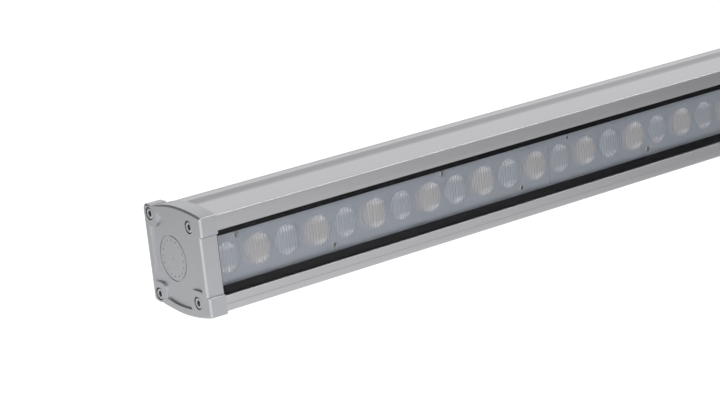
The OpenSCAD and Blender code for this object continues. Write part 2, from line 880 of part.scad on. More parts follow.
module earth_lug() {
    ring_r = 2*earth_screw_r;
    tail = 3*ring_r;
    tail_half = 0.9*earth_screw_r;
    color(copper) difference() {
        union() {
            at(earth_x, bay_rear - lug_thick, 0) pin_y(ring_r, lug_thick);
            box_at(earth_x - tail, earth_x, bay_rear - lug_thick, bay_rear, -tail_half, tail_half);
        }
        at(earth_x, bay_rear - lug_thick - cut, 0) pin_y(earth_screw_r + 0.1, lug_thick + 2*cut);
    }
}

module earth_screw() {
    head_h = 1.2*earth_screw_r;
    head_r = 1.75*earth_screw_r;
    color(steel) at(earth_x, bay_rear - lug_thick - head_h, 0) {
        difference() {
            pin_y(head_r, head_h);
            translate([-0.4, -cut, -head_r - cut]) cube([0.8, 1 + cut, 2*head_r + 2*cut]);
        }
        pin_y(earth_screw_r, head_h + lug_thick + 0.7*channel_floor);
    }
}

module earth_wire() {
    low = front_y + bay_rear - lug_thick - wire_d/2 - 2*bolt_fit;
    high = front_y + driver_front - pole_height;
    color([0.45, 0.62, 0.10]) wire([
        [terminal_x + 4*wire_d, high, pole_pitch],
        [driver_x1 + 17*wire_d, high, pole_pitch],
        [driver_x1 + 17*wire_d, low, pole_pitch],
        [earth_x - 5*wire_d, low, pole_pitch],
        [earth_x - 5*wire_d, low, 0],
        [earth_x - 2.5*wire_d, low, 0]
    ]);
}

// Cable gland in the knock-out of the right cap, along +X from the face of the recessed panel
gland_x = -left_x - panel_recess;
gland_r = gland_d/2;
gland_bore = cable_d/2 + 1;
gland_seat_r = cable_d/2 + 2.2;
gland_flange = 5;
gland_stub = 9;
gland_oring = 1;
locknut_h = 4;
sleeve_start = gland_oring + gland_flange + gland_stub - sleeve_len + 1;

module gland_at(x) {
    at(gland_x + x, disc_depth, 0) children();
}

module gland_body() {
    inner = cap_plate - panel_recess + locknut_h + 1;
    color(black_rubber) difference() {
        union() {
            gland_at(-inner) pin_x(gland_r, inner + gland_oring);
            gland_at(gland_oring) pin_x(gland_flats/sqrt(3), gland_flange, $fn = 6);
            gland_at(gland_oring + gland_flange) pin_x(gland_r, gland_stub);
        }
        gland_at(-inner - cut) pin_x(gland_bore, inner + gland_oring + gland_flange + gland_stub + 2*cut);
        gland_at(sleeve_start) pin_x(gland_seat_r, sleeve_len);
    }
}

module gland_gasket() {
    color([0.45, 0.10, 0.08]) gland_at(0) difference() {
        pin_x(gland_flats/2 - 0.5, gland_oring);
        translate([-cut, 0, 0]) pin_x(gland_r + 0.1, gland_oring + 2*cut);
    }
}

module gland_locknut() {
    color(black_rubber) gland_at(panel_recess - cap_plate - locknut_h) difference() {
        pin_x(gland_flats/sqrt(3), locknut_h, $fn = 6);
        translate([-cut, 0, 0]) pin_x(gland_r + bolt_fit, locknut_h + 2*cut);
    }
}

module gland_sleeve() {
    color([0.30, 0.30, 0.31]) gland_at(sleeve_start) difference() {
        pin_x(gland_seat_r - bolt_fit, sleeve_len);
        translate([-cut, 0, 0]) pin_x(cable_d/2, sleeve_len + 2*cut);
    }
}

module gland_nut() {
    skirt = gland_stub + 3;
    hex_h = skirt/2;
    shell_r = gland_flats/2 - 0.4;
    dome_h = 4.5;
    dome = [for (a = [0:15:90]) [gland_bore + (shell_r - gland_bore)*cos(a), skirt + dome_h*sin(a)]];
    color(black_rubber) gland_at(gland_oring + gland_flange + seat_gap) difference() {
        union() {
            pin_x(gland_flats/sqrt(3), hex_h, $fn = 6);
            rotate([0, 90, 0]) rotate_extrude()
                polygon(concat([[gland_bore, hex_h - cut], [shell_r, hex_h - cut]], dome));
        }
        translate([-cut, 0, 0]) pin_x(gland_r + bolt_fit, skirt - 0.6 + cut);
        translate([-cut, 0, 0]) pin_x(gland_bore, skirt + 2*cut);
    }
}

// Clamps in the rear channel; left and right follow from the sign
module rail_nut(side) {
    nut_half = channel_half - 0.5;
    rear = channel_rear - seat_gap;
    color(steel) difference() {
        box_at(side*feet_span/2 - rail_nut_len/2, side*feet_span/2 + rail_nut_len/2,
            rear - rail_nut_thick, rear, -nut_half, nut_half);
        at(side*feet_span/2, rear - rail_nut_thick - cut, 0)
            pin_y(bolt_d/2 + bolt_fit, rail_nut_thick + 2*cut);
    }
}

module left_rail_nut() {
    rail_nut(-1);
}

module right_rail_nut() {
    rail_nut(1);
}

clamp_front = profile_rear + seat_gap;
clamp_base_rear = clamp_front + foot_thick;

// An ear or an arm: a plate across X that ends round at the tilting axis
module pivot_plate(x0, x1, d0, d1, end_r) {
    box_at(x0, x1, d0, d1, -end_r, end_r);
    at(x0, pivot_depth, 0) pin_x(end_r, x1 - x0);
}

module clamp(side) {
    x = side*feet_span/2;
    color(steel) difference() {
        union() {
            box_at(x - lug_w/2, x + lug_w/2, clamp_front, clamp_base_rear, -foot_half, foot_half);
            for (ear = [x - lug_w/2, x + lug_w/2 - foot_thick])
                pivot_plate(ear, ear + foot_thick, clamp_front + foot_thick/2, pivot_depth, ear_end_r);
        }
        at(x - lug_w/2 - cut, pivot_depth, 0) pin_x(bolt_d/2 + bolt_fit, lug_w + 2*cut);
        at(x, clamp_front - cut, 0) pin_y(bolt_d/2 + 0.2, foot_thick + 2*cut);
    }
}

module left_clamp() {
    clamp(-1);
}

module right_clamp() {
    clamp(1);
}

module clamp_screws() {
    head_r = 0.875*bolt_d;
    head_h = 0.55*bolt_d;
    tip = channel_rear - seat_gap - rail_nut_thick - 0.5;
    color(steel) for (side = [-1, 1]) {
        at(side*feet_span/2, tip, 0) pin_y(bolt_d/2, clamp_base_rear - tip);
        at(side*feet_span/2, clamp_base_rear, 0) difference() {
            pin_y(head_r, head_h);
            translate([0, head_h - 2, 0]) pin_y(bolt_d/3, 2 + cut, $fn = 6);
        }
    }
}

// Feet on the wall
arm_in = lug_w/2 + arm_gap;
arm_out = arm_in + foot_thick;
wall_depth = lamp_depth + pivot_gap + pivot_reach;

module wall_slot(x) {
    travel = slot_len - slot_w;
    box_at(x - travel/2, x + travel/2, wall_depth - foot_thick - cut, wall_depth + cut, -slot_w/2, slot_w/2);
    for (end = [-travel/2, travel/2])
        at(x + end, wall_depth - foot_thick - cut, 0) pin_y(slot_w/2, foot_thick + 2*cut);
}

module foot(side) {
    x = side*feet_span/2;
    color(steel) difference() {
        union() {
            box_at(x - arm_out, x + arm_out, wall_depth - foot_thick, wall_depth, -foot_half, foot_half);
            for (arm = [x - arm_out, x + arm_in])
                pivot_plate(arm, arm + foot_thick, pivot_depth, wall_depth - foot_thick/2, foot_half);
        }
        at(x - arm_out - cut, pivot_depth, 0) pin_x(bolt_d/2 + bolt_fit, 2*arm_out + 2*cut);
        wall_slot(x);
    }
}

module left_foot() {
    foot(-1);
}

module right_foot() {
    foot(1);
}

bolt_head_h = 0.67*bolt_d;
nut_h = bolt_d;

module pivot_bolts() {
    start = arm_out + washer_thick;
    color(steel) for (side = [-1, 1]) at(side*feet_span/2, pivot_depth, 0) {
        translate([-start - bolt_head_h, 0, 0]) pin_x(bolt_flats/sqrt(3), bolt_head_h, $fn = 6);
        translate([-start, 0, 0]) pin_x(bolt_d/2, 2*start + nut_h + 1);
    }
}

module pivot_washers() {
    color(steel) for (side = [-1, 1], x = [-arm_out - washer_thick, arm_out])
        at(side*feet_span/2 + x, pivot_depth, 0) difference() {
            pin_x(washer_d/2, washer_thick);
            translate([-cut, 0, 0]) pin_x(bolt_d/2 + bolt_fit, washer_thick + 2*cut);
        }
}

module pivot_nuts() {
    color(steel) for (side = [-1, 1])
        at(side*feet_span/2 + arm_out + washer_thick, pivot_depth, 0) difference() {
            pin_x(bolt_flats/sqrt(3), nut_h, $fn = 6);
            translate([-cut, 0, 0]) pin_x(bolt_d/2 + bolt_fit, nut_h + 2*cut);
        }
}

profile();
left_end_cap();
right_end_cap();
left_cap_gasket();
right_cap_gasket();
cap_screws();
front_glass();
glass_border_print();
glass_seal();
lens_strip_1();
lens_strip_2();
lens_strip_3();
led_board_1();
led_board_2();
led_board_3();
warm_leds();
cool_leds();
lens_screws();
board_screws();
board_links();
driver_board();
driver_transformer();
driver_choke();
driver_capacitors();
driver_transistors();
terminal_block();
terminal_screws();
feed_wires();
earth_lug();
earth_screw();
earth_wire();
gland_body();
gland_gasket();
gland_locknut();
gland_sleeve();
gland_nut();
left_rail_nut();
right_rail_nut();
left_clamp();
right_clamp();
clamp_screws();
left_foot();
right_foot();
pivot_bolts();
pivot_washers();
pivot_nuts();
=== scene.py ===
import json
import math
from functools import partial

import bmesh
import bpy
from mathutils import Matrix, Vector


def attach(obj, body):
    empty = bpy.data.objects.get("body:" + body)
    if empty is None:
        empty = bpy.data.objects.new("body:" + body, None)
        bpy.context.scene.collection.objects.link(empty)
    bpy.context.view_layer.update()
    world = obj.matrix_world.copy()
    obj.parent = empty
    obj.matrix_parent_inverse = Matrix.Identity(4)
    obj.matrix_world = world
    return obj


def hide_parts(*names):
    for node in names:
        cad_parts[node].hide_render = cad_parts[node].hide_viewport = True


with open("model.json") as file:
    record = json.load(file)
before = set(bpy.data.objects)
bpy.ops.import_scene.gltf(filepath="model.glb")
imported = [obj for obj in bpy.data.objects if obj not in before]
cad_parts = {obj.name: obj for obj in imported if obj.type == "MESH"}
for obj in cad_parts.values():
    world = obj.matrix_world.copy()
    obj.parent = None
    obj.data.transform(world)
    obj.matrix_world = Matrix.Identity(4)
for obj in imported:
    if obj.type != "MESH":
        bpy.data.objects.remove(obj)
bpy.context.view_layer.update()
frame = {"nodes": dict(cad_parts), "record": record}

MM = 0.001
WELD = 1e-6

# Sizes in millimetres: depths run from the front plane of the caps towards the wall, heights from the middle
FRONT_Y, LAMP_DEPTH = -135.0, 77.0
LEFT_X = -500.0
PROFILE_X, PROFILE_LEN = -485.0, 970.0
CROWN, CROWN_DEPTH = 41.4, 35.5
FRONT_HALF, REAR_HALF = 37.4, 32.3
STRIPS, STRIP_LEN, LENSES, LENS_R = 3, 321.2, 12, 12.4
PITCH = STRIP_LEN / LENSES


# ---- nodes
def add(tree, kind, inputs=None, **settings):
    """Adds a node with its settings, and sets or links its inputs."""
    node = tree.nodes.new(kind)
    for key, value in settings.items():
        setattr(node, key, value)
    for key, value in (inputs or {}).items():
        if isinstance(value, bpy.types.NodeSocket):
            tree.links.new(value, node.inputs[key])
        else:
            node.inputs[key].default_value = value
    return node


def maths(tree, operation, *values, **settings):
    """The result of one operation on numbers or sockets."""
    return add(tree, "ShaderNodeMath", dict(enumerate(values)), operation=operation, **settings).outputs[0]


def ramp(tree, value, low, high, to_low=0.0, to_high=1.0, kind="LINEAR"):
    """Two results blended by a value's share of the way from low to high."""
    return add(tree, "ShaderNodeMapRange", {"Value": value, "From Min": low, "From Max": high,
                                            "To Min": to_low, "To Max": to_high},
               interpolation_type=kind).outputs["Result"]


def vector(tree, **axes):
    return add(tree, "ShaderNodeCombineXYZ", axes).outputs[0]


def blended(tree, factor, one, two, kind="RGBA", result=2):
    return add(tree, "ShaderNodeMix", {"Factor": factor, "A": one, "B": two}, data_type=kind).outputs[result]


def object_place(tree):
    return add(tree, "ShaderNodeTexCoord").outputs["Object"]


# ---- materials
def tone(code):
    """An sRGB hex colour as linear red, green, blue and alpha."""
    parts = [int(code[i:i + 2], 16) / 255 for i in (1, 3, 5)]
    return [p / 12.92 if p <= 0.04045 else ((p + 0.055) / 1.055) ** 2.4 for p in parts] + [1.0]


def surface(name, low, high, rough, grain, bump=0.0, **sockets):
    """A finish whose colour and gloss vary between two tones and two roughnesses over a grain in mm."""
    material = bpy.data.materials.new(name)
    material.use_nodes = True
    tree = material.node_tree
    tree.nodes.clear()
    scaled = add(tree, "ShaderNodeMapping", {"Vector": object_place(tree),
                                             "Scale": [1 / (g * MM) for g in grain]})
    noise = add(tree, "ShaderNodeTexNoise", {"Vector": scaled.outputs["Vector"], "Scale": 1.0,
                                             "Detail": 3.0, "Roughness": 0.55}).outputs["Fac"]
    shader = add(tree, "ShaderNodeBsdfPrincipled", {
        "Base Color": blended(tree, noise, tone(low), tone(high)),
        "Roughness": ramp(tree, noise, 0.0, 1.0, *rough), **sockets})
    if bump:
        height = add(tree, "ShaderNodeBump", {"Height": noise, "Strength": 1.0, "Distance": bump * MM})
        tree.links.new(height.outputs["Normal"], shader.inputs["Normal"])
    add(tree, "ShaderNodeOutputMaterial", {"Surface": shader.outputs["BSDF"]})
    return material


# Extruded aluminium, blasted and natural anodised: satin, with faint die lines along the lamp
anodised = surface("satin_anodised_aluminium", "#b7b7ba", "#c3c3c6", (0.28, 0.36), (180, 1.1, 1.1),
                   bump=0.004, Metallic=1.0)
# Die-cast aluminium sprayed with silver enamel: flatter than the profile, with a fine orange peel
enamelled = surface("silver_enamel_on_casting", "#acadb0", "#b7b8bb", (0.32, 0.42), (1.3, 1.3, 1.3),
                    bump=0.02, Metallic=0.9)
# Turned and rolled stainless steel: greyer and glossier than the aluminium, with fine tool marks
stainless = surface("stainless_steel", "#b2b3b4", "#babbbc", (0.26, 0.32), (0.5, 0.5, 5.0),
                    bump=0.001, Metallic=1.0)
# Tempered float glass, coated against glare: clear and flat, with under half the mirror image of bare glass
glass = surface("tempered_glass", "#f9fafb", "#fbfcfc", (0.0, 0.012), (60, 60, 60),
                IOR=1.30, **{"Transmission Weight": 1.0})
# Enamel frit fired on the back of the glass: dense black, with no gloss of its own where it has melted on
frit = surface("black_ceramic_frit", "#08090c", "#0d0e11", (0.5, 0.6), (2, 2, 2),
               **{"Specular IOR Level": 0.0})
# Injection moulded acrylic, lightly frosted: milky with a blue cast, and with what shows through it painted
# on as colour
acrylic = surface("frosted_moulded_acrylic", "#a4a9b4", "#acb1bb", (0.2, 0.26), (4, 4, 4), bump=0.02,
                  IOR=1.49, **{"Transmission Weight": 0.35, "Specular IOR Level": 0.8})
# White solder mask on an aluminium board: smooth, slightly uneven
mask_white = surface("white_solder_mask", "#c6cdda", "#d0d6e2", (0.35, 0.5), (7, 7, 7), bump=0.01)
# Phosphor in clear silicone: a dull yellow grain under a gloss skin
warm = surface("warm_phosphor_silicone", "#d8a24a", "#e8bd6c", (0.2, 0.3), (0.5, 0.5, 0.5),
               **{"Coat Weight": 0.6, "Coat Roughness": 0.08})
cool = surface("cool_phosphor_silicone", "#d9cf8a", "#e6dfa4", (0.2, 0.3), (0.5, 0.5, 0.5),
               **{"Coat Weight": 0.6, "Coat Roughness": 0.08})
# Moulded EPDM rubber: near black and dull, with talc in its pores
rubber = surface("black_rubber", "#17181a", "#232426", (0.6, 0.75), (1.2, 1.2, 1.2), bump=0.02)
# Glass-filled nylon: black, with a low sheen and a spark-eroded texture
nylon = surface("black_nylon", "#1a1b1d", "#26272a", (0.42, 0.55), (0.8, 0.8, 0.8), bump=0.02)
# Copper with thin tin: reddish metal, duller where handled
copper = surface("tinned_copper", "#b87a52", "#c9a48c", (0.25, 0.4), (3, 3, 3), Metallic=1.0)
# Glass epoxy board with green mask: the weave shows through as a fine grain
epoxy = surface("green_glass_epoxy", "#1d5a3a", "#27704a", (0.3, 0.42), (1.2, 1.2, 1.2), bump=0.01)
# Ferrite, sleeving and moulded epoxy: dark and even, slightly glossy
component = surface("dark_component", "#23252b", "#33363f", (0.35, 0.5), (2, 2, 2))
# PVC sheath: soft gloss, red on the feed
sheath = surface("wire_sheath", "#8e1f18", "#a52a20", (0.35, 0.45), (3, 3, 3))

# The first warm lens lies this many pitches along the lamp, and the next ones two pitches apart
WARM_AT = 1.5
# A warm source's halo, a warm tint painted on the moulding in place of the phosphor seen through the lens:
# its place left of the lens's middle and its width in lens radii, and where it fades
HALO_LEFT, HALO_WIDE, HALO_FADE = 0.3, 1.12, (1.0, 0.6)
# The painted glints that break up the painted fans of reflected light: their size in mm, the part of the
# noise that shows, and its light
SPECK, SPECK_SHOWN, SPECK_LIGHT = 1.4, (0.35, 0.62), (0.12, 1.1)


def painted_warm_halo(tree, place):
    """How far a point lies in a warm lens's painted halo, a warm tint that makes the lens look wider than its
    disc.
    """
    at = add(tree, "ShaderNodeSeparateXYZ", {"Vector": place}).outputs
    pitches = maths(tree, "MULTIPLY_ADD", at["X"], 1 / (PITCH * MM), -PROFILE_X / PITCH)
    in_pair = maths(tree, "WRAP", pitches, WARM_AT + 1, WARM_AT - 1)
    off_warm = maths(tree, "MULTIPLY_ADD", in_pair, PITCH / LENS_R, HALO_LEFT - WARM_AT * PITCH / LENS_R)
    wide_sq = maths(tree, "POWER", maths(tree, "DIVIDE", off_warm, HALO_WIDE), 2.0)
    high_sq = maths(tree, "POWER", maths(tree, "DIVIDE", at["Z"], LENS_R * MM), 2.0)
    return ramp(tree, maths(tree, "ADD", wide_sq, high_sq), *HALO_FADE, kind="SMOOTHSTEP")


def painted_show_through(material):
    """Paints on the moulding what it would show by refraction and reflection: a warm tint for a warm source's
    phosphor in a halo and in the heart of its lens, a lighter heart in every lens, and the cup's wall behind
    the ribs, which mirrors the bright board, as two painted fans of reflected light with painted glints."""
    tree = material.node_tree
    colour = tree.nodes["Principled BSDF"].inputs["Base Color"]
    shade = colour.links[0].from_socket
    warmth, cool_heart, warm_heart, cool_fan, warm_fan = (
        add(tree, "ShaderNodeAttribute", attribute_name=mark).outputs["Fac"]
        for mark in ("warmth", "cool_heart", "warm_heart", "cool_fan", "warm_fan"))
    heart = blended(tree, warmth, cool_heart, warm_heart, "FLOAT", 0)
    fan = blended(tree, warmth, cool_fan, warm_fan, "FLOAT", 0)
    place = object_place(tree)
    speck = add(tree, "ShaderNodeTexNoise", {"Vector": place, "Scale": 1 / (SPECK * MM), "Detail": 2.0})
    painted_glint = ramp(tree, speck.outputs["Fac"], *SPECK_SHOWN, *SPECK_LIGHT)
    # Each mark is colour painted in place of light: halo and hearts for the source seen through the lens,
    # fans and glints for the cup wall's reflection
    for source, strength, code in (
            (painted_warm_halo(tree, place), 0.3, "#cbc3bf"), (heart, 0.22, "#cfd1d8"),
            (maths(tree, "MULTIPLY", warmth, heart), 0.35, "#cfc3ba"),
            (maths(tree, "MULTIPLY", fan, painted_glint, use_clamp=True), 0.85, "#faf4fc")):
        shade = blended(tree, maths(tree, "MULTIPLY", source, strength), shade, tone(code))
    tree.links.new(shade, colour)


painted_show_through(acrylic)

FINISH = {
    "anodised_profile": anodised, "cast_cap": enamelled, "stainless_steel": stainless,
    "tempered_glass": glass, "black_print": frit, "clear_acrylic": acrylic, "white_board": mask_white,
    "warm_phosphor": warm, "cool_phosphor": cool, "black_rubber": rubber, "black_nylon": nylon,
    "copper": copper, "green_board": epoxy, "dark_component": component, "wire_sheath": sheath,
}
SLOT = {row["node"]: row["material_slot"] for row in frame["record"]["subparts"]}
BODY = {node: body for body, nodes in frame["record"]["behaviour"]["bodies"].items() for node in nodes}

for name, thing in frame["nodes"].items():
    for holder in thing.material_slots:
        holder.material = FINISH[SLOT[name]]


# ---- pieces
def shown(name, data):
    """A new object in the scene, at the origin."""
    thing = bpy.data.objects.new(name, data)
    bpy.context.scene.collection.objects.link(thing)
    return thing


def baked(piece):
    """The piece with its modifiers made into its own plain mesh."""
    graph = bpy.context.evaluated_depsgraph_get()
    mesh = bpy.data.meshes.new_from_object(piece.evaluated_get(graph))
    piece.modifiers.clear()
    piece.data = mesh
    return piece


def settle(piece, node):
    """Gives a finished piece its finish, body and slot, in place of its CAD node."""
    piece.data.materials.clear()
    piece.data.materials.append(FINISH[SLOT[node]])
    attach(piece, BODY[node])
    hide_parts(node)


def smooth(mesh, degrees):
    mesh.shade_smooth()
    mesh.set_sharp_from_angle(angle=math.radians(degrees))


def levelled(piece):
    """Shades a piece's flat faces flat, with the turn of the light kept to its roundings."""
    flatten = piece.modifiers.new("level", "WEIGHTED_NORMAL")
    flatten.keep_sharp = True
    return baked(piece)


# The light lines at a cap's front come from its long level edges there: their rounding and shortest length
LINE_ROUND, LINE_SHORTEST = 0.7, 10.0


def ease_front(form):
    """Rounds the long level edges of a cap's front band."""
    edges = [e for e in form.edges if len(e.link_faces) == 2 and e.calc_face_angle() > math.radians(60)
             and abs(e.verts[0].co.x - e.verts[1].co.x) > LINE_SHORTEST * MM
             and all(v.co.y < (FRONT_Y + 0.1) * MM for v in e.verts)]
    bmesh.ops.bevel(form, geom=edges, offset=LINE_ROUND * MM, segments=4, profile=0.5, affect="EDGES",
                    clamp_overlap=True)


def worked(node, name, edge=0.0, degrees=28, is_cap=False):
    """A joined copy of a CAD node whose corners are rounded as the real piece's are."""
    mesh = frame["nodes"][node].data.copy()
    form = bmesh.new()
    form.from_mesh(mesh)
    bmesh.ops.remove_doubles(form, verts=form.verts, dist=WELD)
    bmesh.ops.dissolve_limit(form, angle_limit=math.radians(0.3), verts=form.verts, edges=form.edges)
    if is_cap:
        ease_front(form)
    form.to_mesh(mesh)
    form.free()
    if "custom_normal" in mesh.attributes:
        mesh.attributes.remove(mesh.attributes["custom_normal"])
    smooth(mesh, 89 if edge else degrees)
    piece = shown(name, mesh)
    if edge:
        round_off = piece.modifiers.new("round_off", "BEVEL")
        round_off.width = edge * MM
        round_off.segments = 2
        round_off.limit_method = "ANGLE"
        round_off.angle_limit = math.radians(degrees)
        round_off.use_clamp_overlap = True
        round_off.harden_normals = True
        baked(piece)
    if is_cap:
        levelled(piece)
    settle(piece, node)
    return piece


for end in ("left", "right"):
    worked(f"{end}_end_cap", f"{end}_cast_cap", 0.5, is_cap=True)
# The print is fired into the pane: the pane's rear face reaches a hair into it, so they share no plane
PANE_REAR, PRINT_BOND = 9.4, 0.03
pane = worked("front_glass", "front_pane", 0.3)
for vert in pane.data.vertices:
    if vert.co.y > (FRONT_Y + PANE_REAR - PRINT_BOND) * MM:
        vert.co.y += PRINT_BOND * MM
for node, name, edge in (
        ("left_foot", "left_wall_foot", 0.4), ("right_foot", "right_wall_foot", 0.4),
        ("left_clamp", "left_tilt_clamp", 0.4), ("right_clamp", "right_tilt_clamp", 0.4),
        ("left_rail_nut", "left_channel_nut", 0.3), ("right_rail_nut", "right_channel_nut", 0.3),
        ("pivot_bolts", "tilting_bolts", 0.3), ("pivot_nuts", "tilting_nuts", 0.3),
        ("pivot_washers", "tilting_washers", 0.15), ("clamp_screws", "channel_screws", 0.3),
        ("gland_body", "gland_stem", 0.3), ("gland_nut", "gland_cap_nut", 0.3),
        ("gland_sleeve", "gland_grip_sleeve", 0.3)):
    worked(node, name, edge)
for kind in ("warm", "cool"):
    worked(f"{kind}_leds", f"{kind}_light_sources", degrees=40)


# ---- trees that build geometry
def new_tree(name, sockets):
    """A tree with named inputs: the tree, the inputs' identifiers, and their sockets inside it."""
    tree = bpy.data.node_groups.new(name, "GeometryNodeTree")
    ids = {}
    for label, kind in sockets:
        socket = tree.interface.new_socket(label, in_out="INPUT", socket_type="NodeSocket" + kind)
        ids[label] = socket.identifier
    tree.interface.new_socket("Geometry", in_out="OUTPUT", socket_type="NodeSocketGeometry")
    return tree, ids, add(tree, "NodeGroupInput").outputs


def finished(tree, geometry, finish, weld=0.0):
    """Ends a tree with real geometry, welded where told, in its finish."""
    real = add(tree, "GeometryNodeRealizeInstances", {"Geometry": geometry}).outputs["Geometry"]
    if weld:
        real = welded(tree, real, weld)
    dressed = add(tree, "GeometryNodeSetMaterial", {"Geometry": real, "Material": finish})
    add(tree, "NodeGroupOutput", {"Geometry": dressed.outputs["Geometry"]})


def driven_by(piece, name, tree, ids, values):
    """Runs a tree with its values on a piece, and makes the result its own plain mesh."""
    run = piece.modifiers.new(name, "NODES")
    run.node_group = tree
    for label, value in values.items():
        run[ids[label]] = value
    return baked(piece)


def gathered(tree, *sources):
    into = add(tree, "GeometryNodeJoinGeometry")
    for source in sources:
        tree.links.new(source, into.inputs[0])
    return into.outputs[0]


def welded(tree, geometry, distance):
    return add(tree, "GeometryNodeMergeByDistance", {"Geometry": geometry, "Distance": distance}).outputs[0]


def filled(tree, curve):
    return add(tree, "GeometryNodeFillCurve", {"Curve": curve}).outputs["Mesh"]


def pulled(tree, faces, offset):
    return add(tree, "GeometryNodeExtrudeMesh", {"Mesh": faces, "Offset": offset, "Offset Scale": 1.0,
                                                 "Individual": False}).outputs["Mesh"]


def flipped(tree, faces):
    return add(tree, "GeometryNodeFlipFaces", {"Mesh": faces}).outputs["Mesh"]


def circle(tree, sides, radius):
    return add(tree, "GeometryNodeCurvePrimitiveCircle", {"Resolution": sides,
                                                          "Radius": radius}).outputs["Curve"]


def moved(tree, geometry, **way):
    return add(tree, "GeometryNodeTransform", {"Geometry": geometry, **way}).outputs["Geometry"]


def shifted(tree, geometry, position):
    return add(tree, "GeometryNodeSetPosition", {"Geometry": geometry,
                                                 "Position": position}).outputs["Geometry"]


def on_points(tree, points, unit, **choice):
    return add(tree, "GeometryNodeInstanceOnPoints", {"Points": points, "Instance": unit,
                                                      **choice}).outputs["Instances"]


def carried(tree, name):
    """The number that each point carries under a name."""
    return add(tree, "GeometryNodeInputNamedAttribute", {"Name": name},
               data_type="FLOAT").outputs["Attribute"]


def marked(tree, geometry, name, value):
    """The geometry with a number under that name on each point."""
    return add(tree, "GeometryNodeStoreNamedAttribute", {"Geometry": geometry, "Name": name, "Value": value},
               data_type="FLOAT", domain="POINT").outputs["Geometry"]


def points_mesh(name, points, mark_name, marks):
    """Loose points in mm, each with a number that a tree reads by its name."""
    mesh = bpy.data.meshes.new(name)
    mesh.from_pydata([[c * MM for c in point] for point in points], [], [])
    mesh.attributes.new(mark_name, "FLOAT", "POINT").data.foreach_set("value", marks)
    return mesh


# ---- the extruded profile
PROFILE_FRONT, PROFILE_REAR, PROFILE_INSET = 2.0, 75.5, 0.4
WINDOW, LIP_REAR, LEDGE = 24.5, 5.1, 10.6
GLASS_SEAT, OPTIC = 27.8, 22.5
FACE_STEP, FACE_STEP_HALF, FACE_HALF = 0.5, 31.0, 36.2
WEB_FRONT, WEB_REAR = 27.7, 30.7
CHANNEL_FRONT, CHANNEL_REAR, CHANNEL, MOUTH = 66.0, 72.5, 13.0, 6.5
BAY_REAR, BAY = 63.5, 34.5
BAND_END, BAND_HALF = 27.0, 39.8
GROOVE_LOW, GROOVE_LOW_DEPTH, GROOVE_END = 37.7, 29.0, 40.0
CORNER_STEPS, GROOVE_STEPS, SIDE_STEPS = 4, 14, 20


def arc_half(depth):
    """Half height of the profile's arched side at a depth: the caps' arc, drawn in by an inset."""
    if depth < CROWN_DEPTH:
        run, rise = CROWN_DEPTH, CROWN - FRONT_HALF
    else:
        run, rise = LAMP_DEPTH - CROWN_DEPTH, CROWN - REAR_HALF
    r = (run ** 2 + rise ** 2) / (2 * rise)
    return CROWN - r + math.sqrt((r - PROFILE_INSET) ** 2 - (depth - CROWN_DEPTH) ** 2)


def rounded(corners):
    """Corner points (depth, height, radius) as an outline whose corners are curves of those radii."""
    out = []
    count = len(corners)
    for i, (d, z, r) in enumerate(corners):
        here = Vector((d, z))
        if not r:
            out.append(here)
            continue
        back = Vector(corners[i - 1][:2]) - here
        ahead = Vector(corners[(i + 1) % count][:2]) - here
        half = back.angle(ahead) / 2
        reach = min(r / math.tan(half), 0.45 * back.length, 0.45 * ahead.length)
        start = here + back.normalized() * reach
        end = here + ahead.normalized() * reach
        for k in range(CORNER_STEPS + 1):
            t = k / CORNER_STEPS
            out.append(start * (1 - t) ** 2 + here * 2 * t * (1 - t) + end * t ** 2)
    return out


def mirrored(upper):
    """The whole outline from its upper half, given from the front to the rear."""
    return upper + [(d, -z, r) for d, z, r in reversed(upper)]


def loops_mesh(name, loops):
    """Closed outlines in mm, lying flat."""
    mesh = bpy.data.meshes.new(name)
    verts, edges = [], []
    for loop in loops:
        first = len(verts)
        verts += [(p[0] * MM, p[1] * MM, 0) for p in loop]
        edges += [(first + i, first + (i + 1) % len(loop)) for i in range(len(loop))]
    mesh.from_pydata(verts, edges, [])
    return mesh


rise = arc_half(GROOVE_END) - GROOVE_LOW
groove_r = ((GROOVE_END - GROOVE_LOW_DEPTH) ** 2 + rise ** 2) / (2 * rise)
groove = []
for k in range(GROOVE_STEPS + 1):
    depth = BAND_END + (GROOVE_END - BAND_END) * k / GROOVE_STEPS
    low = GROOVE_LOW + groove_r - math.sqrt(groove_r ** 2 - (depth - GROOVE_LOW_DEPTH) ** 2)
    groove.append((depth, low, 0.5 if k in (0, GROOVE_STEPS) else 0))
rear_side = []
for k in range(1, SIDE_STEPS + 1):
    depth = GROOVE_END + (PROFILE_REAR - GROOVE_END) * k / SIDE_STEPS
    rear_side.append((depth, arc_half(depth), 0.6 if k == SIDE_STEPS else 0))
outer = rounded(mirrored(
    [(WEB_FRONT, OPTIC, 0.5), (LEDGE, OPTIC, 0.3), (LEDGE, GLASS_SEAT, 0.3), (LIP_REAR, GLASS_SEAT, 0.3),
     (LIP_REAR, WINDOW, 0.4), (PROFILE_FRONT + FACE_STEP, WINDOW, 0.4),
     (PROFILE_FRONT + FACE_STEP, FACE_STEP_HALF, 0), (PROFILE_FRONT, FACE_STEP_HALF, 0),
     (PROFILE_FRONT, FACE_HALF, 1.1), (BAND_END, BAND_HALF, 0.35)]
    + groove + rear_side
    + [(PROFILE_REAR, MOUTH, 0.4), (CHANNEL_REAR, MOUTH, 0.4), (CHANNEL_REAR, CHANNEL, 0.4),
       (CHANNEL_FRONT, CHANNEL, 0.4)]))
bay = rounded([(WEB_REAR, -BAY, 0.4), (BAY_REAR, -BAY, 0.4), (BAY_REAR, BAY, 0.4), (WEB_REAR, BAY, 0.4)])

